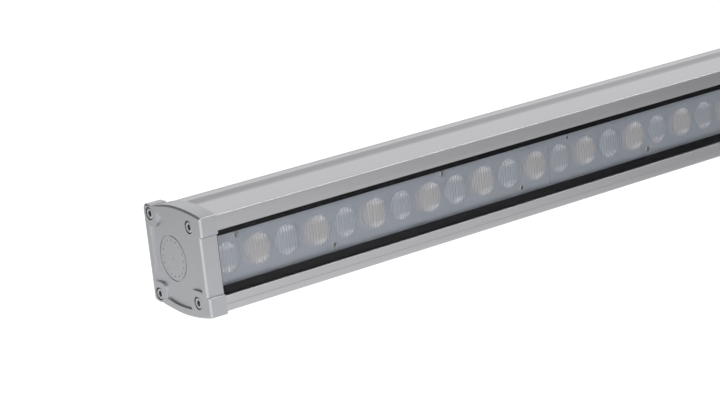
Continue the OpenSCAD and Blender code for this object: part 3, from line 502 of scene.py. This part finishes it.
drawn, drawn_ids, given = new_tree("drawn_section", [
    ("Section", "Geometry"), ("Start", "Float"), ("Length", "Float"), ("Front", "Float"),
    ("Finish", "Material")])
curve = add(drawn, "GeometryNodeMeshToCurve", {"Mesh": given["Section"]}).outputs["Curve"]
section = filled(drawn, curve)
bar = gathered(drawn, pulled(drawn, section, vector(drawn, Z=given["Length"])), flipped(drawn, section))
laid = moved(drawn, welded(drawn, bar, WELD), Translation=vector(drawn, X=given["Start"], Y=given["Front"]),
             Rotation=(math.pi / 2, 0, math.pi / 2))
finished(drawn, laid, given["Finish"])

profile = shown("anodised_profile", loops_mesh("anodised_profile", [outer, bay]))
driven_by(profile, "pull", drawn, drawn_ids, {
    "Start": PROFILE_X * MM, "Length": PROFILE_LEN * MM, "Front": FRONT_Y * MM,
    "Finish": FINISH[SLOT["profile"]]})
smooth(profile.data, 30)
levelled(profile)
settle(profile, "profile")

# ---- the lens strips
PLATE_FRONT, PLATE_THICK, PLATE_HALF, STRIP_GAP = 13.3, 2.0, 20.8, 0.3
BOARD_FRONT = 26.1
RIB_PITCH, RIB_HIGH, DOME_HIGH = 2.48, 0.35, 1.2
SHEET_ACROSS, SHEET_UP = 61, 25
# The cup behind a lens narrows to its source by two powers, and has a hollow there
CUP_HIGH, CUP_SWELL, CUP_CURVE = 12.5, 1.3, 0.55
HOLLOW_DEEP, HOLLOW_FLOOR_R, HOLLOW_RIM_R = 3.4, 2.7, 3.8
# Places past this share of the radius squared are a lens's rim, where front and rear are welded
RIM, RIM_WELD = 0.9999, 1e-5
POST_R, POST_HALF, POST_PITCHES = 3.0, 14.7, (0.8, 4, 8, 10.9)
HEAD_R, HEAD_HIGH = 2.2, 1.5
# A hair's gap keeps lenses, plate and posts from sharing a face
HAIR = 0.02
# What shows through the ribs is painted on as colour, left of the lens's middle by these shares of its radius
SEEN_LEFT = {"cool": 0.28, "warm": 0.07}
# In the same shares: where its two painted fans of reflected light rise above and below the middle, fade at
# the rim and to the left, and how much of them shows between the ribs, and where its painted heart fades
FAN_RISE, FAN_FADE, FAN_SIDE, FAN_BASE = (0.4, 0.72), (1.0, 0.7), (-0.8, 0.3), 0.15
HEART_FADE = (1.0, 0.2)

moulded, moulded_ids, given = new_tree("moulded_lens_strip", [
    ("Posts", "Geometry"), ("Lenses", "Int"), ("Pitch", "Float"), ("Lens Radius", "Float"),
    ("Rib Pitch", "Float"), ("Rib Height", "Float"), ("Dome Height", "Float"), ("Cup Height", "Float"),
    ("Hollow Depth", "Float"), ("Plate Length", "Float"), ("Plate Height", "Float"),
    ("Plate Thickness", "Float"), ("Post Radius", "Float"), ("Post Length", "Float"),
    ("Recess Radius", "Float"), ("Place", "Vector"), ("Finish", "Material")])
calc = partial(maths, moulded)
eased = partial(ramp, moulded, kind="SMOOTHSTEP")

# One lens: a sheet of ribs drawn into a disc for its front, and the same sheet drawn out into its cup
lens_r = given["Lens Radius"]
sheet = add(moulded, "GeometryNodeMeshGrid", {
    "Size X": calc("MULTIPLY", lens_r, 2.0), "Size Y": 2.0,
    "Vertices X": SHEET_ACROSS, "Vertices Y": SHEET_UP}).outputs["Mesh"]
at = add(moulded, "GeometryNodeInputPosition").outputs[0]
on_sheet = add(moulded, "ShaderNodeSeparateXYZ", {0: at}).outputs
across = on_sheet["X"]
across_sq = calc("POWER", across, 2.0)
radius_sq = calc("POWER", lens_r, 2.0)
chord_sq = calc("MAXIMUM", calc("SUBTRACT", radius_sq, across_sq), 0.0)
up = calc("MULTIPLY", on_sheet["Y"], calc("SQRT", chord_sq))
off_sq = calc("ADD", across_sq, calc("POWER", up, 2.0))
share = calc("DIVIDE", off_sq, radius_sq)
half_turns = calc("DIVIDE", across, given["Rib Pitch"])
crest = calc("ABSOLUTE", calc("SINE", calc("MULTIPLY", half_turns, math.pi)))
rib = calc("MULTIPLY", crest, given["Rib Height"])
dome = calc("MULTIPLY_ADD", calc("SUBTRACT", 1.0, share), given["Dome Height"], rib)

# Marks on the front skin for the painted fans of reflected light and the painted hearts, read by the
# acrylic's colour
aside = calc("DIVIDE", across, lens_r)
high = calc("DIVIDE", up, lens_r)
high_sq = calc("POWER", high, 2.0)
rising = eased(calc("ABSOLUTE", high), *FAN_RISE)
ridged = calc("ADD", crest, FAN_BASE)
marked_sheet = sheet
for kind, to_left in SEEN_LEFT.items():
    seen_at = calc("ADD", aside, to_left)
    seen_share = calc("ADD", calc("POWER", seen_at, 2.0), high_sq)
    fan = calc("MULTIPLY", rising, eased(seen_share, *FAN_FADE))
    fan_side = calc("MULTIPLY", fan, eased(seen_at, *FAN_SIDE))
    marked_sheet = marked(moulded, marked_sheet, kind + "_fan", calc("MULTIPLY", fan_side, ridged))
    marked_sheet = marked(moulded, marked_sheet, kind + "_heart", eased(seen_share, *HEART_FADE))
front_y = calc("MULTIPLY", dome, -1.0)
front_skin = shifted(moulded, marked_sheet, vector(moulded, X=across, Y=front_y, Z=up))

narrowing = calc("MAXIMUM", calc("SUBTRACT", 1.0, calc("POWER", share, CUP_SWELL)), 0.0)
cup = calc("MULTIPLY", calc("POWER", narrowing, CUP_CURVE), given["Cup Height"])
hollow = eased(calc("SQRT", off_sq), HOLLOW_FLOOR_R * MM, HOLLOW_RIM_R * MM, given["Hollow Depth"], 0.0)
rim_rib = calc("MULTIPLY", calc("GREATER_THAN", share, RIM), rib)
rear_y = calc("SUBTRACT", calc("SUBTRACT", cup, hollow), rim_rib)
rear_skin = shifted(moulded, sheet, vector(moulded, X=across, Y=rear_y, Z=up))
one_lens = welded(moulded, gathered(moulded, front_skin, flipped(moulded, rear_skin)), RIM_WELD)

# The row of lenses, warm and cool in turn
first_place = vector(moulded, X=calc("MULTIPLY", given["Pitch"], 0.5))
lens_places = add(moulded, "GeometryNodeMeshLine", {
    "Count": given["Lenses"], "Start Location": first_place,
    "Offset": vector(moulded, X=given["Pitch"])}).outputs["Mesh"]
order = add(moulded, "GeometryNodeInputIndex").outputs[0]
warm_or_cool = marked(moulded, lens_places, "warmth", calc("MODULO", order, 2.0))
lens_row = on_points(moulded, warm_or_cool, one_lens)

# The plate round them, with a round opening for each lens and each screw
opening = circle(moulded, 64, calc("ADD", lens_r, HAIR * MM))
openings = on_points(moulded, lens_places, opening)
is_drilled = calc("GREATER_THAN", carried(moulded, "drilled"), 0.5)
recess = circle(moulded, 32, given["Recess Radius"])
recesses = on_points(moulded, given["Posts"], recess, Selection=is_drilled)
plate_edge = add(moulded, "GeometryNodeCurvePrimitiveQuadrilateral", {
    "Width": given["Plate Length"], "Height": given["Plate Height"]}).outputs["Curve"]
middle = calc("ADD", calc("MULTIPLY", given["Plate Length"], 0.5), STRIP_GAP / 2 * MM)
edge_at = moved(moulded, plate_edge, Translation=vector(moulded, X=middle))
lines = gathered(moulded, edge_at, openings, recesses)
lines_real = add(moulded, "GeometryNodeRealizeInstances", {"Geometry": lines}).outputs["Geometry"]
flat = filled(moulded, lines_real)
plate_down = calc("MULTIPLY", given["Plate Thickness"], -1.0)
plate = flipped(moulded, pulled(moulded, flat, vector(moulded, Z=plate_down)))

# The posts behind it: tubes round the screws, and blank ones
post_line = circle(moulded, 40, given["Post Radius"])
tube_lines = gathered(moulded, post_line, recess)
behind = vector(moulded, Z=calc("ADD", plate_down, -HAIR * MM))
post_run = vector(moulded, Z=calc("MULTIPLY", given["Post Length"], -1.0))
posts = []
for source, picked in ((tube_lines, is_drilled), (post_line, calc("SUBTRACT", 1.0, is_drilled))):
    foot = filled(moulded, source)
    post = gathered(moulded, flipped(moulded, pulled(moulded, foot, post_run)), foot)
    lowered = moved(moulded, post, Translation=behind)
    posts.append(on_points(moulded, given["Posts"], lowered, Selection=picked))
upright = moved(moulded, gathered(moulded, *posts, plate, flat), Rotation=(math.pi / 2, 0, 0))
strip = moved(moulded, gathered(moulded, upright, lens_row), Translation=given["Place"])
finished(moulded, strip, given["Finish"], WELD)

posts_at = [(p * PITCH, side * POST_HALF, 0) for p in POST_PITCHES for side in (1, -1)]
with_screw = [float((i % 2 == 0) == (side == 1)) for i in range(len(POST_PITCHES)) for side in (1, -1)]
for s in range(STRIPS):
    node = f"lens_strip_{s + 1}"
    piece = shown(f"ribbed_{node}", points_mesh(node + "_posts", posts_at, "drilled", with_screw))
    driven_by(piece, "mould", moulded, moulded_ids, {
        "Lenses": LENSES, "Pitch": PITCH * MM, "Lens Radius": LENS_R * MM,
        "Rib Pitch": RIB_PITCH * MM, "Rib Height": RIB_HIGH * MM, "Dome Height": DOME_HIGH * MM,
        "Cup Height": CUP_HIGH * MM, "Hollow Depth": HOLLOW_DEEP * MM,
        "Plate Length": (STRIP_LEN - STRIP_GAP) * MM, "Plate Height": 2 * PLATE_HALF * MM,
        "Plate Thickness": PLATE_THICK * MM, "Post Radius": POST_R * MM,
        "Post Length": (BOARD_FRONT - PLATE_FRONT - PLATE_THICK - HAIR) * MM,
        "Recess Radius": (HEAD_R + 0.1) * MM,
        "Place": [(PROFILE_X + s * STRIP_LEN) * MM, (FRONT_Y + PLATE_FRONT) * MM, 0],
        "Finish": FINISH[SLOT[node]]})
    smooth(piece.data, 36)
    settle(piece, node)

# ---- the screws
RING_SIDES = 48
CAP_SCREW_LEN, CAP_HEAD_SET, CAP_SCREWS = 28.6, 0.4, ((16.2, 28.6), (68.8, 30.9))
BOARD_SCREW_PITCHES, BOARD_SCREW_HALF = (2, 10), 17.6


def turned(name, rings):
    """A closed form turned about X from rings of place, radius and, for a hexagon, its half across flats."""
    form = bmesh.new()
    loops = []
    for x, r, six in rings:
        if not r:
            loops.append([form.verts.new((x * MM, 0, 0))])
            continue
        loop = []
        for k in range(RING_SIDES):
            a = 2 * math.pi * k / RING_SIDES
            reach = r / math.cos((a % (math.pi / 3)) - math.pi / 6) if six else r
            loop.append(form.verts.new((x * MM, reach * MM * math.cos(a), reach * MM * math.sin(a))))
        loops.append(loop)
    for one, two in zip(loops, loops[1:]):
        for k in range(RING_SIDES):
            corners = [one[k % len(one)], one[(k + 1) % len(one)], two[(k + 1) % len(two)], two[k % len(two)]]
            form.faces.new(list(dict.fromkeys(corners)))
    bmesh.ops.recalc_face_normals(form, faces=form.faces)
    mesh = bpy.data.meshes.new(name)
    form.to_mesh(mesh)
    form.free()
    return shown(name, mesh)


set_out, set_out_ids, given = new_tree("set_out", [
    ("Places", "Geometry"), ("Screw", "Object"), ("Finish", "Material")])
screw = add(set_out, "GeometryNodeObjectInfo", {"Object": given["Screw"]}).outputs["Geometry"]
heading = vector(set_out, Z=carried(set_out, "aim"))
finished(set_out, on_points(set_out, given["Places"], screw, Rotation=heading), given["Finish"])


def screws(name, node, rings, places, aims):
    """All screws of a node as one piece: its places, and the turn about the vertical of each."""
    unit = turned(name + "_unit", rings)
    piece = shown(name, points_mesh(name, places, "aim", aims))
    driven_by(piece, "spread", set_out, set_out_ids, {"Screw": unit, "Finish": FINISH[SLOT[node]]})
    bpy.data.objects.remove(unit)
    smooth(piece.data, 30)
    settle(piece, node)


def small_screw(shank):
    """Rings of a pan head with a hexagon socket, and of its plain shank."""
    tip = HEAD_HIGH + shank
    return [(3.0, 0, 0), (2.8, 0.9, 1), (1.2, 1.0, 1), (0.1, 1.3, 1), (0.0, 1.56, 0), (0.02, 1.8, 0),
            (0.2, 2.05, 0), (0.5, HEAD_R, 0), (HEAD_HIGH, HEAD_R, 0), (HEAD_HIGH, 1.2, 0),
            (tip - 0.4, 1.2, 0), (tip, 0.8, 0), (tip, 0, 0)]


screws("cap_socket_screws", "cap_screws", [
    (3.9, 0, 0), (3.4, 2.0, 1), (0.2, 2.0, 1), (0.0, 2.4, 0), (0.0, 3.8, 0), (0.12, 4.1, 0), (0.4, 4.25, 0),
    (4.85, 4.25, 0), (5.0, 4.1, 0), (5.0, 2.5, 0), (CAP_SCREW_LEN - 0.5, 2.5, 0), (CAP_SCREW_LEN, 2.0, 0),
    (CAP_SCREW_LEN, 0, 0)],
    [(end * (LEFT_X + CAP_HEAD_SET), FRONT_Y + d, side * z)
     for end in (1, -1) for d, z in CAP_SCREWS for side in (1, -1)],
    [0.0] * 4 + [math.pi] * 4)
in_lenses = [(PROFILE_X + s * STRIP_LEN + p * PITCH, FRONT_Y + PLATE_FRONT, (-1) ** i * POST_HALF)
             for s in range(STRIPS) for i, p in enumerate(POST_PITCHES)]
screws("lens_pan_screws", "lens_screws", small_screw(WEB_REAR - PLATE_FRONT - HEAD_HIGH), in_lenses,
       [math.pi / 2] * len(in_lenses))
in_boards = [(PROFILE_X + s * STRIP_LEN + p * PITCH, FRONT_Y + BOARD_FRONT - HEAD_HIGH,
              side * BOARD_SCREW_HALF)
             for s in range(STRIPS) for p in BOARD_SCREW_PITCHES for side in (1, -1)]
screws("board_pan_screws", "board_screws", small_screw(WEB_REAR - BOARD_FRONT), in_boards,
       [math.pi / 2] * len(in_boards))

# ---- floor and world, in metres
FLOOR_Z, FLOOR_HALF, FLOOR_SEEN = -0.24, 6, 0.82
# A pool of light is painted on the white sweep left of the lamp, as glow that only mirror and glass rays see,
# so what the metal mirrors in it falls off to the right
POOL_X, POOL_Y, POOL_LIGHT, POOL_FADE = -0.7, -0.2, 0.61, (0.9, 1.4)
# The studio's walls are paler low down than overhead, and a dark flag stands behind the lamp to its left
WALL_LIGHT, CEILING_LIGHT, WALL_TO_CEILING = 0.78, 0.5, (0.4, 0.95)
FLAG_WAY, FLAG_FADE, FLAG_LIGHT = (-0.42, 0.80, 0.42), (0.80, 0.94), 0.15

floor_mesh = bpy.data.meshes.new("floor")
floor_mesh.from_pydata([(x * FLOOR_HALF, y * FLOOR_HALF, FLOOR_Z)
                        for x, y in ((-1, -1), (1, -1), (1, 1), (-1, 1))], [], [(0, 1, 2, 3)])
floor = shown("floor", floor_mesh)
pale = bpy.data.materials.new("pale_floor")
pale.use_nodes = True
tree = pale.node_tree
tree.nodes.clear()
ray = add(tree, "ShaderNodeLightPath").outputs
# The floor's glow: plain white to the camera, plus the painted pool of light for mirror and glass rays
by_mirror = maths(tree, "MAXIMUM", ray["Is Glossy Ray"], ray["Is Transmission Ray"])
off_pool = add(tree, "ShaderNodeVectorMath", {0: object_place(tree), 1: (POOL_X, POOL_Y, FLOOR_Z)},
               operation="DISTANCE").outputs["Value"]
shine = maths(tree, "MULTIPLY_ADD", by_mirror, ramp(tree, off_pool, *POOL_FADE, POOL_LIGHT, 0.0),
              maths(tree, "MULTIPLY", ray["Is Camera Ray"], FLOOR_SEEN))
shader = add(tree, "ShaderNodeBsdfPrincipled", {"Base Color": tone("#a8a8a8"), "Roughness": 0.9,
                                                "Specular IOR Level": 0.0, "Emission Color": tone("#ffffff"),
                                                "Emission Strength": shine})
add(tree, "ShaderNodeOutputMaterial", {"Surface": shader.outputs["BSDF"]})
floor.data.materials.append(pale)

world = bpy.data.worlds.new("studio")
bpy.context.scene.world = world
world.use_nodes = True
tree = world.node_tree
tree.nodes.clear()
way = add(tree, "ShaderNodeTexCoord").outputs["Generated"]
toward = add(tree, "ShaderNodeVectorMath", {0: way, 1: Vector(FLAG_WAY).normalized()},
             operation="DOT_PRODUCT").outputs["Value"]
way_up = add(tree, "ShaderNodeSeparateXYZ", {"Vector": way}).outputs["Z"]
dim = maths(tree, "MULTIPLY", ramp(tree, toward, *FLAG_FADE, 1.0, FLAG_LIGHT),
            ramp(tree, way_up, *WALL_TO_CEILING, WALL_LIGHT, CEILING_LIGHT))
seen_direct = add(tree, "ShaderNodeLightPath").outputs["Is Camera Ray"]
sky = add(tree, "ShaderNodeBackground", {"Color": tone("#ffffff"),
                                         "Strength": blended(tree, seen_direct, dim, 1.0, "FLOAT", 0)})
add(tree, "ShaderNodeOutputWorld", {"Surface": sky.outputs["Background"]})


# ---- lamps, in metres and watts
def softbox(name, position, aim, width, height, watts):
    data = bpy.data.lights.new(name, "AREA")
    data.shape = "RECTANGLE"
    data.size, data.size_y = width, height
    data.energy = watts
    lamp = shown(name, data)
    lamp.location = position
    lamp.rotation_mode = "QUATERNION"
    lamp.rotation_quaternion = (Vector(aim) - Vector(position)).to_track_quat("-Z", "Y")
    lamp.visible_camera = False


# In the order given they light the rim walls of the cap's panel, the cap's outer face, all that faces the
# room, the side bands, and the level edges along the front
softbox("key", (-0.95, -0.80, -0.12), (-0.45, -0.1, -0.03), 0.4, 0.22, 1.5)
softbox("low_left", (-0.95, 0.50, -0.20), (-0.5, -0.1, 0), 0.5, 0.4, 0.15)
softbox("front_fill", (-0.9, -1.95, 0.7), (0, -0.1, 0), 2.4, 1.7, 28)
softbox("rear_panel", (0.9, 1.19, 0.80), (0.9, -0.1, 0), 3.0, 0.8, 2.3)
softbox("overhead", (0.47, -0.43, 0.97), (0.47, -0.1, 0), 1.6, 0.12, 6)

# ---- the camera that was fitted to the photograph's lines: picture sizes in its pixels, the rest in mm
FOCAL_PX, WIDE_PX, HIGH_PX, SENSOR = 2409.94, 720.0, 407.0, 36
AZIMUTH, ELEVATION, ROLL = (math.radians(a) for a in (-35.29, 14.72, -6.25))
# The point that was aimed at, how far it is, and where it lies in the picture
AIM_AT, DISTANCE, AIM_PX, AIM_PY = (LEFT_X + 0.8, FRONT_Y, 0), 1720.81, 206.45, 269.04
back = Vector((math.sin(AZIMUTH) * math.cos(ELEVATION), -math.cos(AZIMUTH) * math.cos(ELEVATION),
               math.sin(ELEVATION)))
level_right = Vector((0, 0, 1)).cross(back).normalized()
level_top = back.cross(level_right)
right = level_right * math.cos(ROLL) + level_top * math.sin(ROLL)
top = level_top * math.cos(ROLL) - level_right * math.sin(ROLL)
shift_x = (AIM_PX - WIDE_PX / 2) * DISTANCE / FOCAL_PX
shift_y = (AIM_PY - HIGH_PX / 2) * DISTANCE / FOCAL_PX
stand = back * DISTANCE - right * shift_x + top * shift_y
camera_data = bpy.data.cameras.new("camera")
camera_data.sensor_fit = "HORIZONTAL"
camera_data.sensor_width = SENSOR
camera_data.lens = FOCAL_PX / WIDE_PX * SENSOR
camera_data.clip_start, camera_data.clip_end = 0.05, 50
camera = shown("camera", camera_data)
facing = Matrix((right, top, back)).transposed().to_4x4()
camera.matrix_world = Matrix.Translation((stand + Vector(AIM_AT)) * MM) @ facing
bpy.context.scene.camera = camera
bpy.context.scene.view_settings.view_transform = "Standard"
